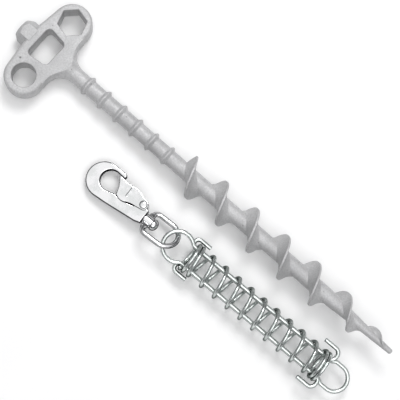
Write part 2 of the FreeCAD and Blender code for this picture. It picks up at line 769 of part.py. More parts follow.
def dome(start, radius, height, steps=6):
    """Half section of a dome that rises along +X from its flat side."""
    points = [(start, radius), (start + height * 0.2, radius)]
    for step in range(1, steps):
        turn = math.pi / 2 * step / steps
        points.append((start + height * (0.2 + 0.8 * math.sin(turn)), radius * math.cos(turn)))
    return points + [(start + height, 0)]


def build_swivel_pin():
    """Pin pressed into the snap body, with a peened head inside the eye."""
    shank = size("swivel_pin_radius")
    seat = size("barrel_start") - size("swivel_gap") - size("pin_seat_depth")
    head = size("barrel_end") + size("swivel_gap")
    corners = [(seat, 0), (seat, shank), (head, shank)]
    return turned_body("swivel_pin", corners + dome(head, size("pin_head_radius"), size("pin_head_height")))


def gate_half_thickness():
    """From the snap hook's middle plane to the gate's outer faces."""
    return size("snap_thickness") / 2 + size("gate_side_gap") + size("gate_cheek")


def build_gate_rivet():
    """Rivet through both gate cheeks and the body's ears, domed at both ends."""
    shank = size("rivet_radius")
    head = size("rivet_head_radius")
    side = gate_half_thickness() + size("rivet_head_play")
    upper = dome(side, head, size("rivet_head_height"))
    lower = [(-x, radius) for x, radius in reversed(upper)]
    rivet = turned_body("gate_rivet", lower + [(-side, shank), (side, shank)] + upper)
    stand = Rotation(Vector(0, 1, 0), -90)
    rivet.Placement = Placement(Vector(size("rivet_station"), size("rivet_height"), 0), stand)
    return rivet


def snap_body_outline():
    """Loop of the hook: bend, nose, throat, spine and pivot ears."""
    bend = (size("bend_centre"), size("bend_height"))
    radius = size("bend_radius")
    throat = (size("throat_centre"), size("throat_height"))
    gap = size("throat_radius")
    rivet = (size("rivet_station"), size("rivet_height"))
    ear = size("pivot_boss_radius")
    base = size("barrel_start") - size("swivel_gap")
    top_touch = on_circle(bend, radius, 88)
    low_touch = on_circle(bend, radius, -92)
    nose_top = (-63.6, 19.6)
    nose_tip = (-60.6, 17.0)
    nose_under = (-61.6, 15.6)
    throat_top = on_circle(throat, gap, 86)
    throat_low = on_circle(throat, gap, -80)
    heel = (-59.6, 0.9)
    dip = (-52.0, 0.2)
    ear_foot = (-42.0, 2.4)
    ear_left = on_circle(rivet, ear, 160)
    ear_right = on_circle(rivet, ear, 0)
    steps = [low_touch,
             ("arc", on_circle(bend, radius, 178), top_touch),
             ("line", nose_top),
             ("arc", (-61.2, 18.8), nose_tip),
             ("line", nose_under),
             ("line", throat_top),
             ("arc", on_circle(throat, gap, 183), throat_low),
             ("line", heel),
             ("line", dip),
             ("line", ear_foot),
             ("line", ear_left),
             ("arc", on_circle(rivet, ear, 80), ear_right),
             ("line", (base, 6.4)),
             ("line", (base, -5.6)),
             ("line", (-34.0, -7.2)),
             ("line", (-61.4, -10.0)),
             ("line", low_touch)]
    return joined(steps)


def build_snap_body():
    """Cast hook body with pivot ears, a slot for the gate spring and the swivel pin's seat."""
    body = new_body("snap_body")
    outline = new_sketch(body, "snap_outline")
    add_loop(outline, snap_body_outline())
    pad(body, outline, "snap_plate", "sizes.snap_thickness")
    half = size("snap_thickness") / 2
    round_edges(body, "snap_round", "sizes.snap_edge", lambda edge: lies_at_height(edge, half))
    rivet_x = size("rivet_station")
    rivet_y = size("rivet_height")
    notch = new_sketch(body, "notch_outline")
    reach = size("gate_spring_radius") + 1.1
    low = rivet_y - reach
    corners = [(rivet_x - 8, low - 2.1), (rivet_x, low), (rivet_x + reach, low),
               (rivet_x + reach, rivet_y + 6), (rivet_x - 8, rivet_y + 6)]
    add_loop(notch, [line(corners[index - 1], corners[index]) for index in range(len(corners))])
    pocket(body, notch, "spring_notch", "sizes.spring_notch_width")
    hole = new_sketch(body, "rivet_hole_outline")
    hole.addGeometry(Part.Circle(Vector(rivet_x, rivet_y, 0), Vector(0, 0, 1), size("rivet_radius")), False)
    pocket(body, hole, "rivet_hole", "sizes.snap_thickness + 2")
    base = size("barrel_start") - size("swivel_gap")
    shank = size("swivel_pin_radius")
    seat = new_sketch(body, "pin_seat_section")
    start = base - size("pin_seat_depth")
    add_loop(seat, [line((start, 0), (base + 1, 0)), line((base + 1, 0), (base + 1, shank)),
                    line((base + 1, shank), (start, shank)), line((start, shank), (start, 0))])
    revolve(body, seat, "pin_seat", "PartDesign::Groove")
    return body


def gate_outline():
    """Loop of the gate: nose under the hook's tip, thumb rise, rear round the rivet, cheek edge."""
    rivet = (size("rivet_station"), size("rivet_height"))
    rear = size("gate_rear_radius")
    return joined([(-65.2, 14.2),
                   ("line", (-64.6, 15.4)),
                   ("line", (-60.8, 14.9)),
                   ("line", (-56.0, 14.4)),
                   ("line", (-49.5, 15.2)),
                   ("arc", (-44.6, 15.0), (-40.0, 13.2)),
                   ("line", on_circle(rivet, rear, 70)),
                   ("arc", on_circle(rivet, rear, 0), on_circle(rivet, rear, -75)),
                   ("line", (-40.6, 2.6)),
                   ("arc", (-46.0, 1.6), (-50.0, -0.3)),
                   ("arc", (-54.5, -0.6), (-58.6, 1.2)),
                   ("arc", (-61.0, 8.0), (-65.2, 14.2))])


def build_gate():
    """Gate: two cheeks joined along their outer edge and at the nose."""
    body = new_body("snap_gate")
    outline = new_sketch(body, "gate_outline")
    add_loop(outline, gate_outline())
    pad(body, outline, "gate_block", "sizes.snap_thickness + 2 * (sizes.gate_side_gap + sizes.gate_cheek)")
    half = gate_half_thickness()
    round_edges(body, "gate_round", "sizes.gate_edge", lambda edge: lies_at_height(edge, half))
    rib = new_sketch(body, "thumb_rib_outline")
    add_loop(rib, rounded_loop([(-51.1, 4.6, 0.3), (-50.1, 4.6, 0.3),
                                (-50.1, 13.4, 0.3), (-51.1, 13.4, 0.3)]))
    pad(body, rib, "thumb_rib",
        "sizes.snap_thickness + 2 * (sizes.gate_side_gap + sizes.gate_cheek + sizes.thumb_rib_height)")
    rivet = (size("rivet_station"), size("rivet_height"))
    channel = new_sketch(body, "channel_outline")
    inner = [(-66.0, -3.0), (-66.0, 8.6), (-58.0, 9.4), (-57.2, 12.2), (-49.5, 13.0), (-44.6, 12.9),
             (-40.6, 11.6), (rivet[0] + 1.0, rivet[1] + 3.25), (rivet[0] + 6, rivet[1] + 3.25),
             (rivet[0] + 6, -3.0)]
    add_loop(channel, [line(inner[index - 1], inner[index]) for index in range(len(inner))])
    pocket(body, channel, "gate_channel", "sizes.snap_thickness + 2 * sizes.gate_side_gap")
    hole = new_sketch(body, "gate_hole_outline")
    radius = size("rivet_radius") + size("rivet_fit")
    hole.addGeometry(Part.Circle(Vector(rivet[0], rivet[1], 0), Vector(0, 0, 1), radius), False)
    pocket(body, hole, "gate_hole", "2 * sizes.snap_thickness")
    return body


def build_gate_spring():
    """Torsion spring round the rivet, one leg on the spine and one under the gate's back."""
    radius = size("gate_spring_radius")
    wire = size("gate_spring_wire")
    lower_angle = size("gate_spring_low_angle")
    upper_angle = size("gate_spring_high_angle") + 360.0 * size("gate_spring_turns")
    turns = (upper_angle - lower_angle) / 360
    pitch = wire + size("gate_spring_gap")
    first = -pitch * turns / 2
    rivet = (size("rivet_station"), size("rivet_height"))
    start = on_circle(rivet, radius, lower_angle)
    end = on_circle(rivet, radius, upper_angle)
    leg_shares = (1 / 3, 2 / 3, 1.0)
    points = []
    for share in reversed(leg_shares):
        foot = on_circle(start, size("gate_spring_low_leg") * share, lower_angle - 90)
        points.append(Vector(foot[0], foot[1], first))
    steps = 30
    for step in range(steps + 1):
        place = on_circle(rivet, radius, lower_angle + (upper_angle - lower_angle) * step / steps)
        points.append(Vector(place[0], place[1], first + pitch * turns * step / steps))
    for share in leg_shares:
        foot = on_circle(end, size("gate_spring_high_leg") * share, upper_angle + 90)
        points.append(Vector(foot[0], foot[1], -first))
    curve = Part.BSplineCurve()
    curve.interpolate(Points=points)
    along = curve.tangent(curve.FirstParameter)[0]
    section = Part.Wire([Part.makeCircle(wire / 2, points[0], along)])
    tube = Part.Wire([curve.toShape()]).makePipeShell([section], True, False)
    return new_feature("gate_spring", tube)


# ---------------------------------------------------------------- assembly

def placed(feature, frame):
    """Move a feature, with whatever placement it has, into a frame."""
    feature.Placement = frame.multiply(feature.Placement)
    return feature


def stake_rest_frame():
    """The stake lying at rest: hex boss and first downward flight crest on the ground, tip up."""
    down_turn = (270 - size("flight_start_angle")) / 360
    crest = Vector(size("flight_start") + down_turn * size("flight_pitch"), 0, -size("flight_radius"))
    slope = size("boss_flats") / math.sqrt(3) - size("boss_chamfer_radius")
    depth = size("boss_flats") / 2 - size("boss_chamfer_radius")
    heel = Vector(size("boss_chamfer_length") * depth / slope, 0, -size("boss_flats") / 2)
    pitch = math.degrees(math.atan2(heel.z - crest.z, crest.x - heel.x))
    turn = Rotation(Vector(0, 1, 0), -pitch)
    return Placement(Vector(0, 0, -turn.multVec(heel).z), turn)


def build_all():
    """Every node of the part, each in its place."""
    unit_height = size("spring_radius") + size("spring_wire") / 2
    unit_turn = Rotation(Vector(0, 0, 1), size("unit_yaw"))
    unit_frame = Placement(Vector(size("unit_x"), size("unit_y"), unit_height), unit_turn)
    link = Vector(size("link_station"), size("link_offset"), drawbar_height())
    snap_turn = Rotation(size("snap_yaw"), -size("snap_pitch"), 0)
    snap_frame = unit_frame.multiply(Placement(link, snap_turn))
    eye_frame = snap_frame.multiply(Placement(Vector(), Rotation(Vector(1, 0, 0), size("eye_roll"))))
    stake = placed(build_stake(), stake_rest_frame())
    spring = placed(build_spring(), unit_frame)
    ring, bow = build_drawbars()
    nodes = [stake, spring, placed(ring, unit_frame), placed(bow, unit_frame)]
    nodes.append(placed(build_swivel_eye(), eye_frame))
    for build in (build_swivel_pin, build_snap_body, build_gate, build_gate_rivet, build_gate_spring):
        nodes.append(placed(build(), snap_frame))
    doc.recompute()
    centre_row(nodes)
    return nodes


def centre_row(nodes):
    """Put the origin on the ground under the middle of everything."""
    box = FreeCAD.BoundBox()
    for node in nodes:
        box.add(node.Shape.optimalBoundingBox(False))
    shift = Placement(Vector(-box.Center.x, -box.Center.y, -box.ZMin), Rotation())
    print("shift", shift.Base, "size", box.XLength, box.YLength, box.ZLength)
    for node in nodes:
        placed(node, shift)
        print(node.Label, node.Shape.optimalBoundingBox(False))
    doc.recompute()


def check(nodes):
    """Stop when any object failed or any node isn't one valid solid."""
    for item in doc.Objects:
        if "Invalid" in item.State or "Error" in item.State:
            raise RuntimeError("%s: %s" % (item.Name, item.State))
    for node in nodes:
        shape = node.Shape
        if shape.isNull() or not shape.isValid() or len(shape.Solids) != 1:
            raise RuntimeError("%s: valid %s, %d solids" % (node.Label, shape.isValid(), len(shape.Solids)))


def main():
    """Build, check and write one STEP file for each node."""
    fill_sheet()
    nodes = build_all()
    check(nodes)
    os.makedirs("parts", exist_ok=True)
    for node in nodes:
        node.Shape.exportStep("parts/%s.step" % node.Label)
        print("%-20s %10.1f mm3" % (node.Label, node.Shape.Volume))


main()
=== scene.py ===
"""Screw-in tent stake and its guy-line shock spring with a swivel snap hook, finished for viewing."""

import json
import math

import bmesh
import bpy
from mathutils import Matrix, Vector


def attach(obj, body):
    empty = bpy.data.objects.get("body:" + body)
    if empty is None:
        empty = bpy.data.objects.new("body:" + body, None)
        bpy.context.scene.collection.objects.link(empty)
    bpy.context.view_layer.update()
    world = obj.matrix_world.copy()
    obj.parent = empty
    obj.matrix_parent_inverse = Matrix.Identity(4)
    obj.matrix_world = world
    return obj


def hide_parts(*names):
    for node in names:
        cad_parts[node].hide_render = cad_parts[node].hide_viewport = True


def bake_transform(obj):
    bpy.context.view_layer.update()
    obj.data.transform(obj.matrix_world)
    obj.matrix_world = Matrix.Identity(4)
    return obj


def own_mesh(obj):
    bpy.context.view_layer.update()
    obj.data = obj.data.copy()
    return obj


bl_info = {
    "name": "Tent Stake",
    "version": (1, 0, 0),
    "blender": (4, 5, 0),
    "location": "3D View > Sidebar > Stake",
    "description": "Builds the visible pieces of a screw-in stake and its shock spring",
    "category": "Add Mesh",
}

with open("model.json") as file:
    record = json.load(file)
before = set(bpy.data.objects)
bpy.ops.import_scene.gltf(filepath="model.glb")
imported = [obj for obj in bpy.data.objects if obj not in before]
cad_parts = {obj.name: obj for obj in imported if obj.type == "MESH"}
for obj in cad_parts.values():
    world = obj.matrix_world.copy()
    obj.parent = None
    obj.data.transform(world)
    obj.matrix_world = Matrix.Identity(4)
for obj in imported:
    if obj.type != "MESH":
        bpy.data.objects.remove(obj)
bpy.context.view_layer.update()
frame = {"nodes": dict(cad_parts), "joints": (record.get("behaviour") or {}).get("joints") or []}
JOINTS = {joint["name"]: joint for joint in frame["joints"]}
MERGE = 2e-6
FULL_TURN = 2 * math.pi
BAR_SIDES = 28
UPRIGHT = (0, 0, 1)


# ---------------------------------------------------------------- places taken from the frame

def unit_matrix():
    """Axes of the spring unit: X along the pull, Z up, origin at the spring's near end."""
    along = Vector(JOINTS["spring_pull"]["axis"]).normalized()
    up = Vector(UPRIGHT)
    across = up.cross(along)
    turn = Matrix((along, across, up)).transposed().to_4x4()
    sizes = bpy.context.scene.spring_unit
    link = Vector((sizes.link_station, sizes.link_offset, sizes.plane_height))
    return Matrix.Translation(Vector(JOINTS["swivel"]["pos_m"]) - turn.to_3x3() @ link) @ turn


def hook_matrix():
    """Axes of the snap hook: X along its swivel, Z through its flat side, origin at the link."""
    along = Vector(JOINTS["swivel"]["axis"]).normalized()
    through = Vector(JOINTS["gate"]["axis"]).normalized()
    across = through.cross(along)
    turn = Matrix((along, across, through)).transposed().to_4x4()
    return Matrix.Translation(Vector(JOINTS["swivel"]["pos_m"])) @ turn


def eye_matrix():
    """Axes of the swivel eye: the hook's, rolled about the swivel."""
    return hook_matrix() @ Matrix.Rotation(bpy.context.scene.snap_hook.eye_roll, 4, "X")


# ---------------------------------------------------------------- settings

def length(name, description, default):
    """A length setting in metres."""
    return bpy.props.FloatProperty(name=name, description=description, default=default,
                                   unit="LENGTH", precision=5)


def colour(name, description, default):
    """A colour setting."""
    return bpy.props.FloatVectorProperty(name=name, description=description, default=default,
                                         subtype="COLOR", size=3, min=0, max=1)


class StakeFinish(bpy.types.PropertyGroup):
    """Colours of the three metals, the painted shade on the plated pieces' sides, and the casting's one
    blow hole, whose dark is painted shade.
    """
    casting: colour("Casting", "Sand-blasted aluminium", (0.56, 0.56, 0.565))
    casting_dark: colour("Casting, dark", "Oxide in the casting's grain", (0.33, 0.33, 0.335))
    zinc: colour("Zinc", "Bright plated steel wire", (0.74, 0.78, 0.765))
    zinc_dark: colour("Zinc, dark", "Dull flecks in the plating", (0.40, 0.44, 0.425))
    chrome: colour("Chrome", "Polished hook and eye", (0.82, 0.82, 0.83))
    # Painted shade: the two side colours below are not thinner or duller plating; they darken each plated
    # piece's base colour towards its sides, standing in for the dark reflections along its edges.
    zinc_painted_side_shade: colour("Zinc, sides", "Thinner plating round the sides of the wire", (0.20, 0.215, 0.21))
    chrome_painted_side_shade: colour("Chrome, sides", "Unpolished plating on the sides", (0.018, 0.018, 0.019))
    pit: colour("Pits", "Dirt in the casting's pits", (0.12, 0.12, 0.12))
    # Painted shade: the hole colour below is a dark spot standing in for the shade inside a small blow hole
    # in the head plate, which has no geometry.
    hole: colour("Hole", "Dark of the blow hole", (0.08, 0.08, 0.08))
    blow_hole: bpy.props.FloatVectorProperty(
        name="Blow hole", description="Small blow hole in the head plate", size=3, unit="LENGTH",
        default=(-0.18472, -0.00912, 0.01906), subtype="TRANSLATION")
    hole_radius: length("Hole radius", "Where the dark round the blow hole ends", 0.0013)


class SpringUnitSizes(bpy.types.PropertyGroup):
    """Sizes of the shock spring and its two drawbars."""
    link_station: length("Link station", "Eye's link point from the spring's end", -0.0183)
    link_offset: length("Link offset", "Eye's link point from the unit's axis", 0.0015)
    plane_height: length("Drawbar plane", "Each drawbar's plane from the unit's axis", 0.00195)
    free_length: length("Free length", "Spring's free length", 0.1464)
    coil_radius: length("Coil radius", "Spring's mean radius", 0.01275)
    coil_wire: length("Spring wire", "Spring wire diameter", 0.0031)
    closed_gap: length("Closed gap", "Between the wires of the closed turns", 0.00015)
    end_turns: bpy.props.FloatProperty(name="End turns", description="Closed turns at each end",
                                       default=1.6)
    open_turns: bpy.props.FloatProperty(name="Open turns", description="Working turns", default=10.1)
    coil_start: bpy.props.FloatProperty(name="Coil start", description="Where the wire's near end lies",
                                        default=math.radians(148), subtype="ANGLE")
    bar_wire: length("Drawbar wire", "Drawbar wire diameter", 0.0036)
    ring_hook_gap: length("Ring hook gap", "Between the spring and the wide hooks", 0.0001)
    bow_hook_gap: length("Bow hook gap", "Between the spring and the narrow hooks", 0.0004)
    leg_offset: length("Leg offset", "Drawbar legs from the unit's axis", 0.0089)
    ring_radius: length("Ring radius", "Mean radius of the hook side loop", 0.0129)
    ring_flare: length("Ring flare", "Bend between ring and legs", 0.0040)
    ring_flare_start: length("Ring flare start", "Where the legs start to spread", 0.0006)
    bow_radius: length("Bow radius", "Mean radius of the far loop", 0.0113)
    bow_centre: length("Bow centre", "Far loop's centre from the spring's end", 0.1585)
    bow_flare: length("Bow flare", "Bends between legs and bow", 0.0050)
    bow_flare_gap: length("Bow flare gap", "Spring's end to the first bend of the bow", 0.0002)
    wide_tip: length("Wide hook tip", "Wide hook's end from the spring's end", 0.1322)
    wide_offset: length("Wide hook offset", "Wide hook's tip from the axis", 0.0193)
    wide_outer_bend: length("Wide hook outer bend", "Bend beside the tip", 0.0046)
    wide_inner_bend: length("Wide hook inner bend", "Bend beside the leg", 0.0042)
    narrow_tip: length("Narrow hook tip", "Narrow hook's end from the spring's end", 0.01175)
    narrow_bend: length("Narrow hook bend", "Narrow hook's bend", 0.00385)


class SnapHookSizes(bpy.types.PropertyGroup):
    """Sizes of the swivel eye, its pin and the snap hook."""
    eye_roll: bpy.props.FloatProperty(name="Eye roll", description="Roll of the eye about its swivel",
                                      default=math.radians(-30), subtype="ANGLE")
    eye_bar: length("Eye bar", "Radius of the eye's bar", 0.0022)
    eye_half_width: length("Eye half width", "Mean half width of the eye", 0.0120)
    eye_end: length("Eye end", "Mean end of the eye", 0.0043)
    eye_back: length("Eye back", "Mean back of the eye", -0.0244)
    eye_corner: length("Eye corner", "Mean corner radius at the back", 0.0050)
    barrel_radius: length("Barrel radius", "Swivel barrel", 0.0047)
    barrel_start: length("Barrel start", "Barrel's hook side", -0.0284)
    barrel_end: length("Barrel end", "Barrel's eye side", -0.0203)
    barrel_chamfer: length("Barrel chamfer", "Chamfer round the barrel's ends", 0.0004)
    shoulder: bpy.props.FloatVectorProperty(
        name="Shoulder", description="Block that joins bar and barrel", size=3, unit="LENGTH",
        default=(0.0054, 0.0168, 0.0042), subtype="XYZ")
    shoulder_round: length("Shoulder rounding", "Rounding of the shoulder's edges", 0.0012)
    bore_radius: length("Bore radius", "Bore in the barrel", 0.0026)
    pin_radius: length("Pin radius", "Swivel pin", 0.0025)
    pin_head: length("Pin head", "Radius of the peened head", 0.0050)
    pin_head_height: length("Pin head height", "Height of the peened head", 0.0050)
    swivel_gap: length("Swivel gap", "End play of the swivel", 0.0003)
    pin_seat: length("Pin seat", "Pin inside the hook", 0.0050)
    cheek_face: length("Cheek face", "Gate's outer faces from the middle plane", 0.00535)
    rivet_head: length("Rivet head", "Radius of the rivet's heads", 0.0034)
    rivet_height: length("Rivet head height", "Height of the rivet's heads", 0.0015)
    rivet_shank: length("Rivet shank", "Radius of the rivet's shank", 0.0017)
    rivet_gap: length("Rivet gap", "Between the gate and the rivet's heads", 0.00005)
    gate_coil: length("Gate coil", "Mean radius of the torsion spring's coil", 0.0022)
    casting_voxel: length("Casting detail", "Smallest detail kept when castings are softened", 0.00028)


class StudioSettings(bpy.types.PropertyGroup):
    """Camera, lights and floor."""
    camera_place: bpy.props.FloatVectorProperty(
        name="Camera", description="Camera's place", default=(-0.0232, -0.1131, 0.8297), size=3,
        subtype="TRANSLATION", unit="LENGTH")
    camera_target: bpy.props.FloatVectorProperty(
        name="Target", description="Point in the middle of the view", default=(0.0016, 0.0020, 0.014),
        size=3, subtype="TRANSLATION", unit="LENGTH")
    camera_up: bpy.props.FloatVectorProperty(
        name="Up", description="Upward direction of the view", default=(-0.6639, 0.7430, 0.0846), size=3,
        subtype="DIRECTION")
    focal_length: bpy.props.FloatProperty(name="Focal length", description="Lens, on a 36 mm sensor",
                                          default=90.0, unit="CAMERA")
    floor_size: length("Floor size", "Side of the floor", 6.0)
    key_power: bpy.props.FloatProperty(name="Key light", description="Strength of the key softbox",
                                       default=6.0, unit="POWER")
    fill_power: bpy.props.FloatProperty(name="Fill light", description="Strength of the fill softbox",
                                        default=3.4, unit="POWER")


# ---------------------------------------------------------------- mesh helpers

def as_object(bm, name, smooth_angle):
    """Turn a bmesh into an object at the origin, shaded smooth up to an angle."""
    mesh = bpy.data.meshes.new(name)
    bm.to_mesh(mesh)
    bm.free()
    stored = mesh.attributes.get("custom_normal")
    if stored:
        mesh.attributes.remove(stored)
    mesh.polygons.foreach_set("use_smooth", [True] * len(mesh.polygons))
    mesh.set_sharp_from_angle(angle=smooth_angle)
    piece = bpy.data.objects.new(name, mesh)
    bpy.context.scene.collection.objects.link(piece)
    return piece


def finish_mesh(bm, name, matrix=Matrix()):
    """Join and turn outwards a new piece's skin, and put its place in its mesh."""
    bmesh.ops.remove_doubles(bm, verts=bm.verts, dist=MERGE)
    bmesh.ops.recalc_face_normals(bm, faces=bm.faces)
    bm.transform(matrix)
    return as_object(bm, name, math.radians(35))


def start_ring(bm, centre, along, radius, sides):
    """First ring of a bar: its edges."""
    turn = Vector((0, 0, 1)).rotation_difference(Vector(along)).to_matrix().to_4x4()
    ring = bmesh.ops.create_circle(bm, segments=sides, radius=radius,
                                   matrix=Matrix.Translation(centre) @ turn)
    return list({edge for vert in ring["verts"] for edge in vert.link_edges})


def run_on(bm, ring, step):
    """Carry a bar straight on by a vector: its new last ring."""
    made = bmesh.ops.extrude_edge_only(bm, edges=ring)["geom"]
    verts = [item for item in made if isinstance(item, bmesh.types.BMVert)]
    bmesh.ops.translate(bm, verts=verts, vec=step)
    new = set(verts)
    return [item for item in made if isinstance(item, bmesh.types.BMEdge) and set(item.verts) <= new]


def bend_on(bm, ring, centre, axis, angle, steps, rise=0.0):
    """Carry a bar round a bend, or along a screw line when it rises: its new last ring."""
    verts = list({vert for edge in ring for vert in edge.verts})
    last = bmesh.ops.spin(bm, geom=verts + ring, cent=centre, axis=axis, angle=angle, steps=steps,
                          dvec=Vector(axis) * rise / steps)["geom_last"]
    return [item for item in last if isinstance(item, bmesh.types.BMEdge)]


def close_end(bm, ring, round_off):
    """Cap a bar's end and round its rim."""
    bmesh.ops.edgeloop_fill(bm, edges=ring)
    bmesh.ops.bevel(bm, geom=ring, offset=round_off, segments=3, profile=0.5,
                    affect="EDGES", material=-1)


def mirror_across(bm):
    """Add the other half of a piece that is symmetrical about its XZ plane."""
    bmesh.ops.mirror(bm, geom=bm.verts[:] + bm.edges[:] + bm.faces[:], matrix=Matrix(),
                     merge_dist=MERGE * 5, axis="Y")


def turned(bm, outline, steps=48):
    """Solid turned about X from (x, radius) points; the first and last points may be on the axis."""
    verts = [bm.verts.new((x, radius, 0)) for x, radius in outline]
    edges = [bm.edges.new(pair) for pair in zip(verts, verts[1:])]
    bmesh.ops.spin(bm, geom=verts + edges, cent=(0, 0, 0), axis=(1, 0, 0), angle=FULL_TURN,
                   steps=steps, use_merge=True)


def dome_outline(start, radius, height, wall_share=0.2, steps=10):
    """Outline of a dome that rises along X from its flat side."""
    points = [(start, radius * 0.97), (start + height * 0.04, radius),
              (start + height * wall_share, radius)]
    for step in range(1, steps):
        turn = math.pi / 2 * step / steps
        rise = wall_share + (1 - wall_share) * math.sin(turn)
        points.append((start + height * rise, radius * math.cos(turn)))
    return points + [(start + height, 0)]


def softened(piece, voxel, rounds=4):
    """Melt a piece into one skin and soften its edges, as in a polished die casting."""
    melt = piece.modifiers.new("melt", "REMESH")
    melt.mode = "VOXEL"
    melt.voxel_size = voxel
    soft = piece.modifiers.new("soft", "SMOOTH")
    soft.factor = 0.5
    soft.iterations = rounds
    graph = bpy.context.evaluated_depsgraph_get()
    mesh = bpy.data.meshes.new_from_object(piece.evaluated_get(graph))
    piece.modifiers.clear()
    piece.data = mesh
    mesh.polygons.foreach_set("use_smooth", [True] * len(mesh.polygons))
    return piece


def merged_copy(node, name, smooth_angle):
    """A copy of a CAD node with its loose triangles joined, without its stored normals."""
    bm = bmesh.new()
    bm.from_mesh(frame["nodes"][node].data)
    bmesh.ops.remove_doubles(bm, verts=bm.verts, dist=MERGE)
    return as_object(bm, name, smooth_angle)


def mark_sides(piece):
    """Store on each point how far its skin turns from the flat of the piece to its side, which the plated
    finishes use for painted shade.
    """
    layer = piece.data.attributes.new("side", "FLOAT", "POINT")
    for vert, mark in zip(piece.data.vertices, layer.data):
        mark.value = 1 - abs(vert.normal.z)


def dress(piece, node, finish):
    """Mark a piece's sides, give it its material, and hide the CAD node it stands for."""
    mark_sides(piece)
    piece.data.materials.clear()
    piece.data.materials.append(finish)
    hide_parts(node)


def install(piece, node, body, finish):
    """Dress a piece and let it ride on its body."""
    dress(piece, node, finish)
    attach(piece, body)


# ---------------------------------------------------------------- shader groups and materials

def new_group(name, inputs, outputs):
    """Empty shader group with named float inputs and named outputs."""
    group = bpy.data.node_groups.new(name, "ShaderNodeTree")
    for label, default in inputs:
        socket = group.interface.new_socket(label, in_out="INPUT", socket_type="NodeSocketFloat")
        socket.default_value = default
    for label, kind in outputs:
        group.interface.new_socket(label, in_out="OUTPUT", socket_type=kind)
    return group, group.nodes.new("NodeGroupInput"), group.nodes.new("NodeGroupOutput")


def noise_node(tree, coordinates, scale, detail, roughness=0.55):
    """Noise texture on the given coordinates."""
    node = tree.nodes.new("ShaderNodeTexNoise")
    node.inputs["Detail"].default_value = detail
    node.inputs["Roughness"].default_value = roughness
    tree.links.new(coordinates, node.inputs["Vector"])
    if isinstance(scale, (int, float)):
        node.inputs["Scale"].default_value = scale
    else:
        tree.links.new(scale, node.inputs["Scale"])
    return node


def ranged(tree, value, low, high, new_low=0.0, new_high=1.0):
    """Map Range node from a value socket: its result socket."""
    node = tree.nodes.new("ShaderNodeMapRange")
    node.interpolation_type = "SMOOTHSTEP"
    node.inputs["From Min"].default_value = low
    node.inputs["From Max"].default_value = high
    node.inputs["To Min"].default_value = new_low
    node.inputs["To Max"].default_value = new_high
    tree.links.new(value, node.inputs["Value"])
    return node.outputs["Result"]


def combined(tree, operation, first, second):
    """Math node of two sockets or numbers: its result socket."""
    node = tree.nodes.new("ShaderNodeMath")
    node.operation = operation
    for socket, value in zip(node.inputs, (first, second)):
        if isinstance(value, (int, float)):
            socket.default_value = value
        else:
            tree.links.new(value, socket)
    return node.outputs[0]


def grain_group():
    """Grain of a metal surface: broad cloudiness, fine grain, sparse pits and a height."""
    group, given, out = new_group(
        "metal_grain", [("Cloud Scale", 60.0), ("Grain Scale", 1500.0), ("Pit Scale", 420.0)],
        [("Cloud", "NodeSocketFloat"), ("Grain", "NodeSocketFloat"), ("Pits", "NodeSocketFloat"),
         ("Height", "NodeSocketFloat")])
    place = group.nodes.new("ShaderNodeTexCoord").outputs["Object"]
    cloud = noise_node(group, place, given.outputs["Cloud Scale"], 3.0)
    grain = noise_node(group, place, given.outputs["Grain Scale"], 4.0, 0.65)
    cells = group.nodes.new("ShaderNodeTexVoronoi")
    group.links.new(place, cells.inputs["Vector"])
    group.links.new(given.outputs["Pit Scale"], cells.inputs["Scale"])
    dots = ranged(group, cells.outputs["Distance"], 0.16, 0.30, 1.0, 0.0)
    where = ranged(group, noise_node(group, place, 210.0, 2.0).outputs["Fac"], 0.60, 0.70)
    pits = combined(group, "MULTIPLY", dots, where)
    height = combined(group, "SUBTRACT", grain.outputs["Fac"], combined(group, "MULTIPLY", pits, 2.5))
    group.links.new(ranged(group, cloud.outputs["Fac"], 0.30, 0.70), out.inputs["Cloud"])
    group.links.new(ranged(group, grain.outputs["Fac"], 0.30, 0.70), out.inputs["Grain"])
    group.links.new(pits, out.inputs["Pits"])
    group.links.new(height, out.inputs["Height"])
    return group


def blended(tree, factor, first, second):
    """Colour mix of two colours or sockets: its result socket."""
    node = tree.nodes.new("ShaderNodeMix")
    node.data_type = "RGBA"
    tree.links.new(factor, node.inputs["Factor"])
    for socket, value in ((node.inputs[6], first), (node.inputs[7], second)):
        if isinstance(value, bpy.types.NodeSocket):
            tree.links.new(value, socket)
        else:
            socket.default_value = (*value, 1.0)
    return node.outputs[2]


def start_metal(name, metallic, cloud_scale, grain_scale, pit_scale):
    """New material with a Principled shader and a placed grain group."""
    material = bpy.data.materials.new(name)
    material.use_nodes = True
    tree = material.node_tree
    shader = tree.nodes["Principled BSDF"]
    shader.inputs["Metallic"].default_value = metallic
    grain = tree.nodes.new("ShaderNodeGroup")
    grain.node_tree = bpy.data.node_groups.get("metal_grain") or grain_group()
    grain.inputs["Cloud Scale"].default_value = cloud_scale
    grain.inputs["Grain Scale"].default_value = grain_scale
    grain.inputs["Pit Scale"].default_value = pit_scale
    return material, tree, shader, grain


def add_bump(tree, shader, height, strength, distance):
    """Bump the surface by a height socket."""
    bump = tree.nodes.new("ShaderNodeBump")
    bump.inputs["Strength"].default_value = strength
    bump.inputs["Distance"].default_value = distance
    tree.links.new(height, bump.inputs["Height"])
    tree.links.new(bump.outputs["Normal"], shader.inputs["Normal"])


def painted_side_shade_group():
    """Shader group: painted shade, darker from a piece's flat towards its side."""
    found = bpy.data.node_groups.get("side_painted_shade")
    if found:
        return found
    group, entry, leave = new_group(
        "side_painted_shade", (("Side", 0.0), ("Start", 0.3), ("End", 0.8)), (("Painted_Shade", "NodeSocketFloat"),))
    shade = ranged(group, entry.outputs["Side"], 0.0, 1.0)
    group.links.new(entry.outputs["Start"], shade.node.inputs["From Min"])
    group.links.new(entry.outputs["End"], shade.node.inputs["From Max"])
    group.links.new(shade, leave.inputs["Painted_Shade"])
    return group


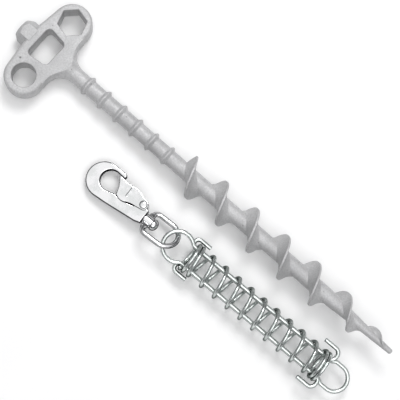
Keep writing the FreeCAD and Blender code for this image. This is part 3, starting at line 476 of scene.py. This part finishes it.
def painted_side_shade_mask(tree, start, end):
    """Mask of the painted side shade, from the stored side mark: nought on a piece's flat, one on its side.
    """
    mark = tree.nodes.new("ShaderNodeAttribute")
    mark.attribute_name = "side"
    node = tree.nodes.new("ShaderNodeGroup")
    node.node_tree = painted_side_shade_group()
    node.inputs["Start"].default_value = start
    node.inputs["End"].default_value = end
    tree.links.new(mark.outputs["Fac"], node.inputs["Side"])
    return node.outputs["Painted_Shade"]


def cast_aluminium():
    """Blasted aluminium casting: matte, cloudy, finely grained, with a few dark pits and a painted dark
    spot for a blow hole.
    """
    found = bpy.data.materials.get("blasted_casting")
    if found:
        return found
    finish = bpy.context.scene.stake_finish
    material, tree, shader, grain = start_metal("blasted_casting", 0.25, 45.0, 800.0, 380.0)
    cloudy = blended(tree, ranged(tree, grain.outputs["Cloud"], 0.0, 1.0, 0.0, 0.35),
                     finish.casting, finish.casting_dark)
    grained = blended(tree, ranged(tree, grain.outputs["Grain"], 0.0, 1.0, 0.0, 0.40),
                      cloudy, finish.casting_dark)
    pitted = blended(tree, ranged(tree, grain.outputs["Pits"], 0.0, 1.0, 0.0, 0.6),
                     grained, finish.pit)
    # Painted shade: a dark spot at the blow hole's place stands in for the shade inside the hole, which is
    # not modelled.
    blow_hole = tree.nodes.new("ShaderNodeVectorMath")
    blow_hole.operation = "DISTANCE"
    tree.links.new(tree.nodes.new("ShaderNodeTexCoord").outputs["Object"], blow_hole.inputs[0])
    blow_hole.inputs[1].default_value = finish.blow_hole
    painted_hole_fade = ranged(tree, blow_hole.outputs["Value"], finish.hole_radius * 0.3, finish.hole_radius, 0.75, 0.0)
    painted_hole_shaded = blended(tree, painted_hole_fade, pitted, finish.hole)
    tree.links.new(painted_hole_shaded, shader.inputs["Base Color"])
    tree.links.new(ranged(tree, grain.outputs["Grain"], 0.0, 1.0, 0.46, 0.62), shader.inputs["Roughness"])
    shader.inputs["Specular IOR Level"].default_value = 0.25
    add_bump(tree, shader, grain.outputs["Height"], 0.35, 0.00025)
    return material


def zinc_steel():
    """Bright plated wire: smooth, faintly green-grey, with dull flecks."""
    found = bpy.data.materials.get("bright_zinc_wire")
    if found:
        return found
    finish = bpy.context.scene.stake_finish
    material, tree, shader, grain = start_metal("bright_zinc_wire", 1.0, 160.0, 900.0, 600.0)
    flecked = blended(tree, ranged(tree, grain.outputs["Grain"], 0.45, 1.0, 0.0, 0.6),
                      finish.zinc, finish.zinc_dark)
    clouded = blended(tree, ranged(tree, grain.outputs["Cloud"], 0.0, 1.0, 0.0, 0.25),
                      flecked, finish.zinc_dark)
    # Painted shade: the wire's base colour darkens towards its sides, by the stored side mark, standing in
    # for dark reflections along its edges.
    painted_side_shaded = blended(tree, painted_side_shade_mask(tree, 0.36, 0.85), clouded, finish.zinc_painted_side_shade)
    tree.links.new(painted_side_shaded, shader.inputs["Base Color"])
    tree.links.new(ranged(tree, grain.outputs["Cloud"], 0.0, 1.0, 0.17, 0.32), shader.inputs["Roughness"])
    shader.inputs["Specular Tint"].default_value = (0.35, 0.37, 0.36, 1)
    add_bump(tree, shader, grain.outputs["Height"], 0.18, 0.0001)
    return material


def chrome(name="polished_chrome", side_start=0.30, side_end=0.66):
    """Polished plating over a die casting: near mirror, with slow waves and light smudges."""
    found = bpy.data.materials.get(name)
    if found:
        return found
    finish = bpy.context.scene.stake_finish
    material, tree, shader, grain = start_metal(name, 1.0, 90.0, 500.0, 700.0)
    smudged = blended(tree, ranged(tree, grain.outputs["Cloud"], 0.1, 1.0, 0.0, 0.30),
                      finish.chrome, finish.zinc_dark)
    # Painted shade: the base colour darkens towards the piece's sides, by the stored side mark, standing in
    # for dark reflections along its edges.
    painted_side_shaded = blended(tree, painted_side_shade_mask(tree, side_start, side_end), smudged, finish.chrome_painted_side_shade)
    tree.links.new(painted_side_shaded, shader.inputs["Base Color"])
    tree.links.new(ranged(tree, grain.outputs["Cloud"], 0.0, 1.0, 0.05, 0.13), shader.inputs["Roughness"])
    shader.inputs["Specular Tint"].default_value = (0.25, 0.25, 0.26, 1)
    add_bump(tree, shader, grain.outputs["Cloud"], 0.15, 0.0002)
    return material


# ---------------------------------------------------------------- pieces

class STAKE_OT_casting(bpy.types.Operator):
    """The one-piece stake casting, with its skin joined and shaded smooth"""
    bl_idname = "stake.casting"
    bl_label = "Stake Casting"

    def execute(self, context):
        piece = merged_copy("stake", "stake_casting", math.radians(32))
        install(piece, "stake", "stake", cast_aluminium())
        return {"FINISHED"}


class STAKE_OT_spring(bpy.types.Operator):
    """The compression spring, wound along its screw line with closed ends"""
    bl_idname = "stake.spring"
    bl_label = "Compression Spring"

    def execute(self, context):
        sizes = context.scene.spring_unit
        wire = sizes.coil_wire
        closed_pitch = wire + sizes.closed_gap
        total_turns = sizes.open_turns + 2 * sizes.end_turns
        blend_turns = 0.5
        spare = sizes.free_length - wire - total_turns * closed_pitch
        open_pitch = closed_pitch + spare / (sizes.open_turns - blend_turns)
        steps_per_turn = 40
        bm = bmesh.new()
        turn = Matrix.Rotation(sizes.coil_start, 3, "X")
        wire_end = turn @ Vector((wire / 2, sizes.coil_radius, 0))
        first = start_ring(bm, wire_end, turn @ Vector((0, 0, 1)), wire / 2, 18)
        ring = first
        blend_steps = 4
        eased = [closed_pitch + (open_pitch - closed_pitch) * (step + 0.5) / blend_steps
                 for step in range(blend_steps)]
        stretches = [(sizes.end_turns, closed_pitch)]
        stretches += [(blend_turns / blend_steps, pitch) for pitch in eased]
        stretches += [(sizes.open_turns - 2 * blend_turns, open_pitch)]
        stretches += [(blend_turns / blend_steps, pitch) for pitch in reversed(eased)]
        stretches += [(sizes.end_turns, closed_pitch)]
        for turns, pitch in stretches:
            ring = bend_on(bm, ring, (0, 0, 0), (1, 0, 0), FULL_TURN * turns,
                           max(2, round(steps_per_turn * turns)), pitch * turns)
        close_end(bm, first, wire * 0.08)
        close_end(bm, ring, wire * 0.08)
        piece = finish_mesh(bm, "shock_spring", unit_matrix())
        install(piece, "compression_spring", "spring_unit", zinc_steel())
        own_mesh(piece)
        return {"FINISHED"}


class STAKE_OT_ring_drawbar(bpy.types.Operator):
    """The drawbar with the round loop, bent from one wire in one plane"""
    bl_idname = "stake.ring_drawbar"
    bl_label = "Ring Drawbar"

    def execute(self, context):
        sizes = context.scene.spring_unit
        wire = sizes.bar_wire
        leg = sizes.leg_offset
        outer = sizes.wide_offset
        outer_bend = sizes.wide_outer_bend
        inner_bend = sizes.wide_inner_bend
        back = sizes.free_length + wire / 2 + sizes.ring_hook_gap
        flare = sizes.ring_flare
        flare_centre = Vector((sizes.ring_flare_start, leg + flare, 0))
        reach = sizes.ring_radius + flare
        loop_centre = Vector((flare_centre.x - math.sqrt(reach ** 2 - flare_centre.y ** 2), 0, 0))
        swing = math.atan2(flare_centre.y, flare_centre.x - loop_centre.x)
        quarter = math.pi / 2
        bm = bmesh.new()
        first = start_ring(bm, (sizes.wide_tip, outer, 0), (1, 0, 0), wire / 2, BAR_SIDES)
        ring = run_on(bm, first, (back - outer_bend - sizes.wide_tip, 0, 0))
        ring = bend_on(bm, ring, (back - outer_bend, outer - outer_bend, 0), UPRIGHT, -quarter, 14)
        ring = run_on(bm, ring, (0, leg + inner_bend - outer + outer_bend, 0))
        ring = bend_on(bm, ring, (back - inner_bend, leg + inner_bend, 0), UPRIGHT, -quarter, 14)
        ring = run_on(bm, ring, (flare_centre.x - back + inner_bend, 0, 0))
        ring = bend_on(bm, ring, flare_centre, UPRIGHT, swing - quarter, 12)
        bend_on(bm, ring, loop_centre, UPRIGHT, math.pi - swing, 48)
        close_end(bm, first, wire * 0.12)
        mirror_across(bm)
        raised = unit_matrix() @ Matrix.Translation((0, 0, sizes.plane_height))
        piece = finish_mesh(bm, "ring_bar", raised)
        install(piece, "ring_drawbar", "spring_unit", zinc_steel())
        return {"FINISHED"}


class STAKE_OT_bow_drawbar(bpy.types.Operator):
    """The drawbar with the bow, bent from one wire in one plane"""
    bl_idname = "stake.bow_drawbar"
    bl_label = "Bow Drawbar"

    def execute(self, context):
        sizes = context.scene.spring_unit
        wire = sizes.bar_wire
        leg = sizes.leg_offset
        bend = sizes.narrow_bend
        back = -wire / 2 - sizes.bow_hook_gap
        bow = sizes.bow_radius
        flare = sizes.bow_flare
        flare_start = sizes.free_length + sizes.bow_flare_gap
        swing = math.acos(1 - (bow - leg) / (2 * flare))
        flare_end = flare_start + 2 * flare * math.sin(swing)
        bm = bmesh.new()
        first = start_ring(bm, (sizes.narrow_tip, leg + 2 * bend, 0), (-1, 0, 0), wire / 2, BAR_SIDES)
        ring = run_on(bm, first, (back + bend - sizes.narrow_tip, 0, 0))
        ring = bend_on(bm, ring, (back + bend, leg + bend, 0), UPRIGHT, math.pi, 24)
        ring = run_on(bm, ring, (flare_start - back - bend, 0, 0))
        ring = bend_on(bm, ring, (flare_start, leg + flare, 0), UPRIGHT, swing, 8)
        ring = bend_on(bm, ring, (flare_end, bow - flare, 0), UPRIGHT, -swing, 8)
        ring = run_on(bm, ring, (sizes.bow_centre - flare_end, 0, 0))
        bend_on(bm, ring, (sizes.bow_centre, 0, 0), UPRIGHT, -math.pi / 2, 28)
        close_end(bm, first, wire * 0.12)
        mirror_across(bm)
        lowered = unit_matrix() @ Matrix.Translation((0, 0, -sizes.plane_height))
        piece = finish_mesh(bm, "bow_bar", lowered)
        install(piece, "bow_drawbar", "bow_drawbar", zinc_steel())
        return {"FINISHED"}


class STAKE_OT_swivel_eye(bpy.types.Operator):
    """The cast swivel eye: a bar loop that swells into the bored barrel"""
    bl_idname = "stake.swivel_eye"
    bl_label = "Swivel Eye"

    def execute(self, context):
        sizes = context.scene.snap_hook
        half = sizes.eye_half_width
        corner = sizes.eye_corner
        back = sizes.eye_back
        centre = sizes.eye_end - half
        bm = bmesh.new()
        ring = start_ring(bm, (back, 0, 0), (0, 1, 0), sizes.eye_bar, 24)
        ring = run_on(bm, ring, (0, half - corner, 0))
        ring = bend_on(bm, ring, (back + corner, half - corner, 0), UPRIGHT, -math.pi / 2, 12)
        ring = run_on(bm, ring, (centre - back - corner, 0, 0))
        bend_on(bm, ring, (centre, 0, 0), UPRIGHT, -math.pi / 2, 24)
        mirror_across(bm)
        shoulder = bmesh.ops.create_cube(bm, size=1.0)["verts"]
        bmesh.ops.scale(bm, verts=shoulder, vec=sizes.shoulder)
        bmesh.ops.translate(bm, verts=shoulder, vec=(back, 0, 0))
        edges = list({edge for vert in shoulder for edge in vert.link_edges})
        bmesh.ops.bevel(bm, geom=edges, offset=sizes.shoulder_round, segments=3, profile=0.5,
                        affect="EDGES", material=-1)
        start, end = sizes.barrel_start, sizes.barrel_end
        outer, bore_radius, chamfer = sizes.barrel_radius, sizes.bore_radius, sizes.barrel_chamfer
        turned(bm, [(start, bore_radius), (start, outer - chamfer), (start + chamfer, outer),
                    (end - chamfer, outer), (end, outer - chamfer), (end, bore_radius),
                    (start, bore_radius)])
        piece = finish_mesh(bm, "eye_casting", eye_matrix())
        bore = bmesh.new()
        past = 0.002
        turned(bore, [(start - past, 0), (start - past, bore_radius),
                      (end + past, bore_radius), (end + past, 0)])
        cutter = finish_mesh(bore, "bore_cutter", eye_matrix())
        softened(piece, sizes.casting_voxel)
        cut = piece.modifiers.new("bore", "BOOLEAN")
        cut.operation = "DIFFERENCE"
        cut.object = cutter
        cut.solver = "EXACT"
        graph = context.evaluated_depsgraph_get()
        piece.data = bpy.data.meshes.new_from_object(piece.evaluated_get(graph))
        piece.modifiers.clear()
        bpy.data.objects.remove(cutter)
        piece.data.set_sharp_from_angle(angle=math.radians(50))
        install(piece, "swivel_eye", "swivel_eye", chrome())
        return {"FINISHED"}


class STAKE_OT_swivel_pin(bpy.types.Operator):
    """The swivel pin with its peened, domed head"""
    bl_idname = "stake.swivel_pin"
    bl_label = "Swivel Pin"

    def execute(self, context):
        sizes = context.scene.snap_hook
        seat = sizes.barrel_start - sizes.swivel_gap - sizes.pin_seat
        head = sizes.barrel_end + sizes.swivel_gap
        bm = bmesh.new()
        turned(bm, [(seat, 0), (seat, sizes.pin_radius), (head, sizes.pin_radius)]
               + dome_outline(head, sizes.pin_head, sizes.pin_head_height))
        piece = finish_mesh(bm, "eye_pin", hook_matrix())
        install(piece, "swivel_pin", "snap_hook", chrome())
        return {"FINISHED"}


class STAKE_OT_snap_castings(bpy.types.Operator):
    """The hook body and the gate, with softened casting edges"""
    bl_idname = "stake.snap_castings"
    bl_label = "Hook Body and Gate"

    def execute(self, context):
        voxel = context.scene.snap_hook.casting_voxel
        for node, name, body in (("snap_body", "hook_casting", "snap_hook"),
                                 ("snap_gate", "gate_casting", "snap_gate")):
            piece = softened(merged_copy(node, name, math.radians(30)), voxel)
            # The hook castings take a wider band of painted shade on their sides.
            install(piece, node, body, chrome("hook_chrome", 0.12, 0.36))
        return {"FINISHED"}


class STAKE_OT_gate_rivet(bpy.types.Operator):
    """The rivet through the gate, domed at both ends"""
    bl_idname = "stake.gate_rivet"
    bl_label = "Gate Rivet"

    def execute(self, context):
        sizes = context.scene.snap_hook
        side = sizes.cheek_face + sizes.rivet_gap
        shank = sizes.rivet_shank
        upper = dome_outline(side, sizes.rivet_head, sizes.rivet_height)
        lower = [(-x, radius) for x, radius in reversed(upper)]
        bm = bmesh.new()
        turned(bm, lower + [(-side, shank), (side, shank)] + upper)
        turn = hook_matrix().to_3x3().to_4x4() @ Matrix.Rotation(-math.pi / 2, 4, "Y")
        stand = Matrix.Translation(Vector(JOINTS["gate"]["pos_m"])) @ turn
        piece = finish_mesh(bm, "pivot_rivet", stand)
        install(piece, "gate_rivet", "snap_hook", chrome())
        return {"FINISHED"}


class STAKE_OT_gate_spring(bpy.types.Operator):
    """Plated finish on the small torsion spring inside the gate"""
    bl_idname = "stake.gate_spring"
    bl_label = "Gate Spring"

    def execute(self, context):
        piece = merged_copy("gate_spring", "gate_coil", math.radians(60))
        dress(piece, "gate_spring", zinc_steel())
        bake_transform(piece)
        return {"FINISHED"}


# ---------------------------------------------------------------- studio

def floor_material():
    """Matte white board."""
    material = bpy.data.materials.new("studio_floor")
    material.use_nodes = True
    tree = material.node_tree
    shader = tree.nodes["Principled BSDF"]
    shader.inputs["Roughness"].default_value = 0.9
    shader.inputs["Specular IOR Level"].default_value = 0.1
    place = tree.nodes.new("ShaderNodeTexCoord").outputs["Object"]
    fleck = noise_node(tree, place, 8.0, 2.0)
    tone = blended(tree, ranged(tree, fleck.outputs["Fac"], 0.3, 0.7),
                   (0.93, 0.93, 0.93), (0.95, 0.95, 0.95))
    tree.links.new(tone, shader.inputs["Base Color"])
    return material


def studio_sky():
    """White ceiling over walls that darken lower down, so that polished edges read."""
    world = bpy.data.worlds.new("studio")
    bpy.context.scene.world = world
    world.use_nodes = True
    tree = world.node_tree
    place = tree.nodes.new("ShaderNodeTexCoord").outputs["Generated"]
    split = tree.nodes.new("ShaderNodeSeparateXYZ")
    tree.links.new(place, split.inputs["Vector"])
    ramp = tree.nodes.new("ShaderNodeValToRGB")
    tree.links.new(split.outputs["Z"], ramp.inputs["Fac"])
    stops = ramp.color_ramp.elements
    stops[0].position = 0.0
    stops[0].color = (0.34, 0.34, 0.35, 1)
    stops[1].position = 0.86
    stops[1].color = (1.0, 1.0, 1.0, 1)
    for position, tone in ((0.30, 0.20), (0.45, 0.10), (0.62, 0.36), (0.72, 0.75)):
        stop = stops.new(position)
        stop.color = (tone, tone, tone * 1.02, 1)
    tree.links.new(ramp.outputs["Color"], tree.nodes["Background"].inputs["Color"])
    tree.nodes["Background"].inputs["Strength"].default_value = 1.1


def add_softbox(name, place, target, width, power):
    """Square area light aimed at a point."""
    light = bpy.data.lights.new(name, "AREA")
    light.size = width
    light.energy = power
    lamp = bpy.data.objects.new(name, light)
    lamp.location = place
    lamp.rotation_euler = (Vector(target) - Vector(place)).to_track_quat("-Z", "Y").to_euler()
    bpy.context.scene.collection.objects.link(lamp)


class STAKE_OT_stage(bpy.types.Operator):
    """Pale floor, soft lights and the camera"""
    bl_idname = "stake.stage"
    bl_label = "Stage"

    def execute(self, context):
        studio = context.scene.studio
        bm = bmesh.new()
        bmesh.ops.create_grid(bm, x_segments=4, y_segments=4, size=studio.floor_size / 2)
        floor = finish_mesh(bm, "studio_floor", Matrix.Translation((0, 0, -0.0005)))
        floor.data.materials.append(floor_material())
        studio_sky()
        add_softbox("key_softbox", (-0.35, 0.60, 1.05), (0, 0, 0), 0.45, studio.key_power)
        add_softbox("fill_softbox", (0.35, -0.35, 1.30), (0, 0, 0), 0.9, studio.fill_power)
        camera_data = bpy.data.cameras.new("camera")
        camera_data.lens = studio.focal_length
        camera_data.clip_start = 0.01
        camera = bpy.data.objects.new("camera", camera_data)
        place = Vector(studio.camera_place)
        back = (place - Vector(studio.camera_target)).normalized()
        right = Vector(studio.camera_up).cross(back).normalized()
        turn = Matrix((right, back.cross(right), back)).transposed().to_4x4()
        camera.matrix_world = Matrix.Translation(place) @ turn
        context.scene.collection.objects.link(camera)
        context.scene.camera = camera
        context.scene.view_settings.view_transform = "Standard"
        return {"FINISHED"}


class STAKE_PT_panel(bpy.types.Panel):
    """Buttons for every piece"""
    bl_idname = "STAKE_PT_panel"
    bl_label = "Tent Stake"
    bl_space_type = "VIEW_3D"
    bl_region_type = "UI"
    bl_category = "Stake"

    def draw(self, context):
        for operator in PIECES:
            self.layout.operator(operator.bl_idname)
        for group in ("stake_finish", "spring_unit", "snap_hook", "studio"):
            settings = getattr(context.scene, group)
            for name in type(settings).__annotations__:
                self.layout.prop(settings, name)


SETTINGS = (("stake_finish", StakeFinish), ("spring_unit", SpringUnitSizes),
            ("snap_hook", SnapHookSizes), ("studio", StudioSettings))
PIECES = (STAKE_OT_casting, STAKE_OT_spring, STAKE_OT_ring_drawbar, STAKE_OT_bow_drawbar,
          STAKE_OT_swivel_eye, STAKE_OT_swivel_pin, STAKE_OT_snap_castings, STAKE_OT_gate_rivet,
          STAKE_OT_gate_spring, STAKE_OT_stage)


def register():
    """Register the settings, the operators and the panel."""
    for name, group in SETTINGS:
        bpy.utils.register_class(group)
        setattr(bpy.types.Scene, name, bpy.props.PointerProperty(type=group))
    for operator in PIECES:
        bpy.utils.register_class(operator)
    bpy.utils.register_class(STAKE_PT_panel)


def unregister():
    """Take everything away again."""
    bpy.utils.unregister_class(STAKE_PT_panel)
    for operator in reversed(PIECES):
        bpy.utils.unregister_class(operator)
    for name, group in reversed(SETTINGS):
        delattr(bpy.types.Scene, name)
        bpy.utils.unregister_class(group)


def main():
    """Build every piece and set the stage."""
    register()
    for operator in PIECES:
        group, name = operator.bl_idname.split(".")
        getattr(getattr(bpy.ops, group), name)()


if __name__ == "__main__":
    main()
